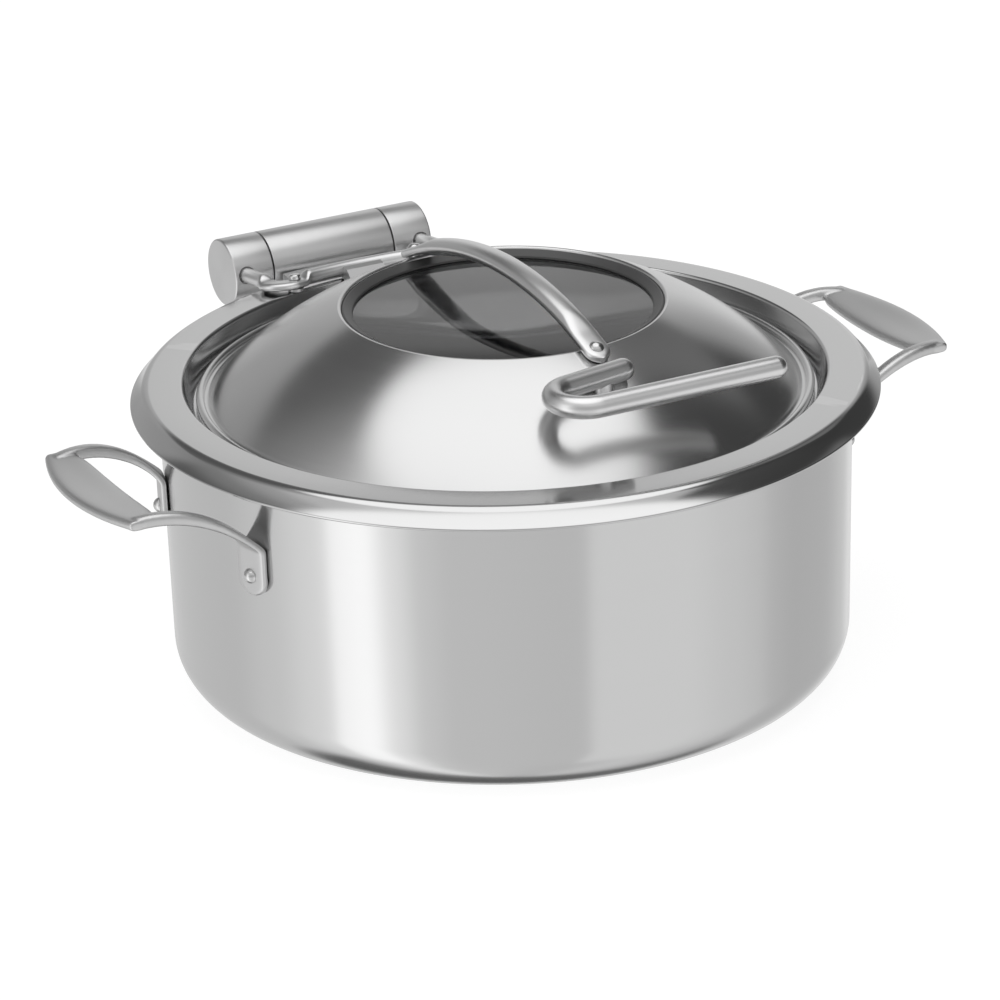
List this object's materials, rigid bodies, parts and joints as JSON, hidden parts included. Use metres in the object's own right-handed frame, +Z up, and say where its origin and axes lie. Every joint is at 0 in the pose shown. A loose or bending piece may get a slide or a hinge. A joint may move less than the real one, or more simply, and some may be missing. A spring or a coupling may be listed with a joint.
{
  "type": "buffet soup kettle",
  "caption": "Low round stainless soup kettle with lift-off collar, inner soup vessel, domed glass-window lid on a damped rear hinge and leaf-shaped side handles.",
  "frame": {"origin": "centre of the base disc's underside, on the surface that the kettle stands on", "axes": "+Z up, +Y towards the lid hinge at the back, +X towards the right-hand side handle as seen from the grip side"},
  "size_m": [0.509, 0.4429, 0.2332],
  "materials": {
    "pot_steel": "satin, brushed round the wall",
    "base_steel": "spun satin",
    "cast_satin": "bead-blasted satin casting",
    "rivet_steel": "tumbled",
    "collar_steel": "satin, brushed round the ring",
    "insert_steel": "satin",
    "bracket_steel": "satin casting",
    "screw_steel": "plain machined",
    "barrel_steel": "fine satin",
    "bushing_polymer": "moulded bearing polymer",
    "damper_polymer": "moulded damper body",
    "lid_steel": "satin, spun round the dome",
    "gasket_rubber": "matt silicone",
    "window_glass": "polished toughened glass",
    "clamp_steel": "pressed",
    "rod_satin": "satin rod",
    "shaft_steel": "ground"
  },
  "bodies": {
    "pot": {"pot_body": "pot_steel", "base_disc": "base_steel", "left_handle": "cast_satin", "right_handle": "cast_satin", "left_handle_rivets": "rivet_steel", "right_handle_rivets": "rivet_steel"},
    "collar": {"collar_ring": "collar_steel", "soup_insert": "insert_steel", "hinge_bracket": "bracket_steel", "bracket_screws": "screw_steel", "hinge_barrel": "barrel_steel", "barrel_bushings": "bushing_polymer", "damper_sleeve": "damper_polymer"},
    "lid": {"lid_dome": "lid_steel", "window_gasket": "gasket_rubber", "window_glass": "window_glass", "window_clamp": "clamp_steel", "arch_handle": "rod_satin", "arch_rivets": "rivet_steel", "grip_rod": "rod_satin", "grip_post": "rod_satin", "grip_screw": "screw_steel", "hinge_shaft": "shaft_steel", "left_hinge_cap": "barrel_steel", "right_hinge_cap": "barrel_steel", "thrust_washers": "bushing_polymer", "cap_screws": "screw_steel", "hinge_yoke": "rod_satin", "yoke_posts": "rod_satin", "yoke_rivets": "rivet_steel"}
  },
  "joints": [
    {"name": "collar_lift", "type": "slide", "parent": "pot", "child": "collar", "axis": [0, 0, 1], "range_m": [0, 0.2]},
    {"name": "lid_hinge", "type": "hinge", "parent": "collar", "child": "lid", "pos_m": [0, 0.2237, 0.1666], "axis": [-1, 0, 0], "range_deg": [0, 90]}
  ]
}
